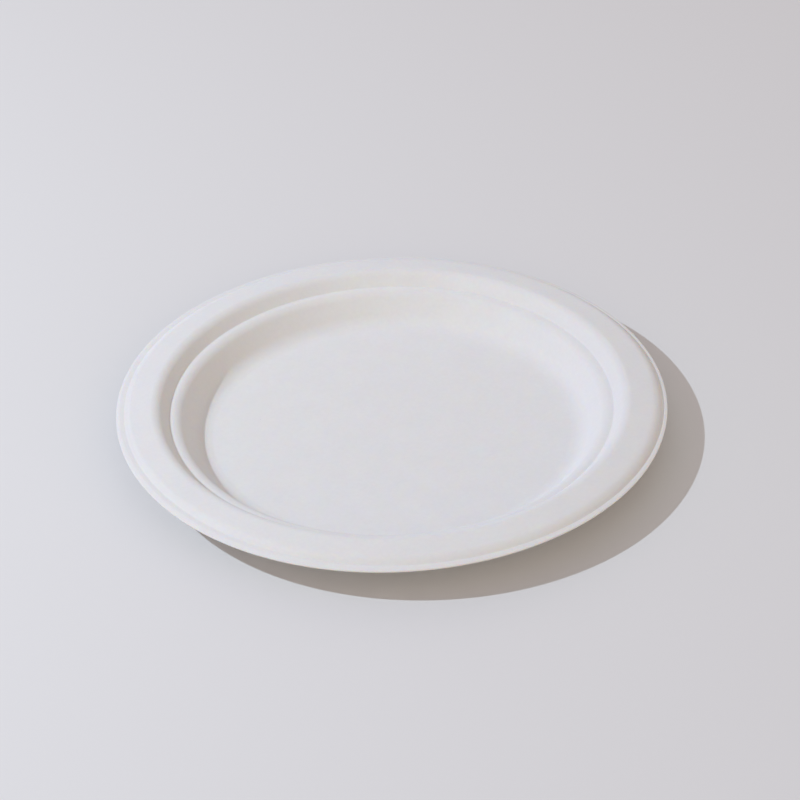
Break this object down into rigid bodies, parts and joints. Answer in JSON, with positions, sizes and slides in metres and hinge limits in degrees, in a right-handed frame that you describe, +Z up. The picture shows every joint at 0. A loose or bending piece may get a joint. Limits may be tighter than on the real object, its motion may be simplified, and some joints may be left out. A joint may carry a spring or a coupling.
{
  "type": "moulded fibre plate",
  "caption": "Round disposable plate pressed from one sheet of white fibre pulp, with a flat floor, sloping wall, narrow ledge, rounded rim and thin flat flange.",
  "frame": {"origin": "centre of the flat underside, on the table", "axes": "+Z up along the plate's axis; X and Y lie in the plane of the table"},
  "size_m": [0.225, 0.225, 0.0184],
  "materials": {
    "white_pulp": "matt pressed fibre pulp, off-white with a faint felt-like grain"
  },
  "bodies": {
    "root": {"plate": "white_pulp"}
  },
  "joints": []
}
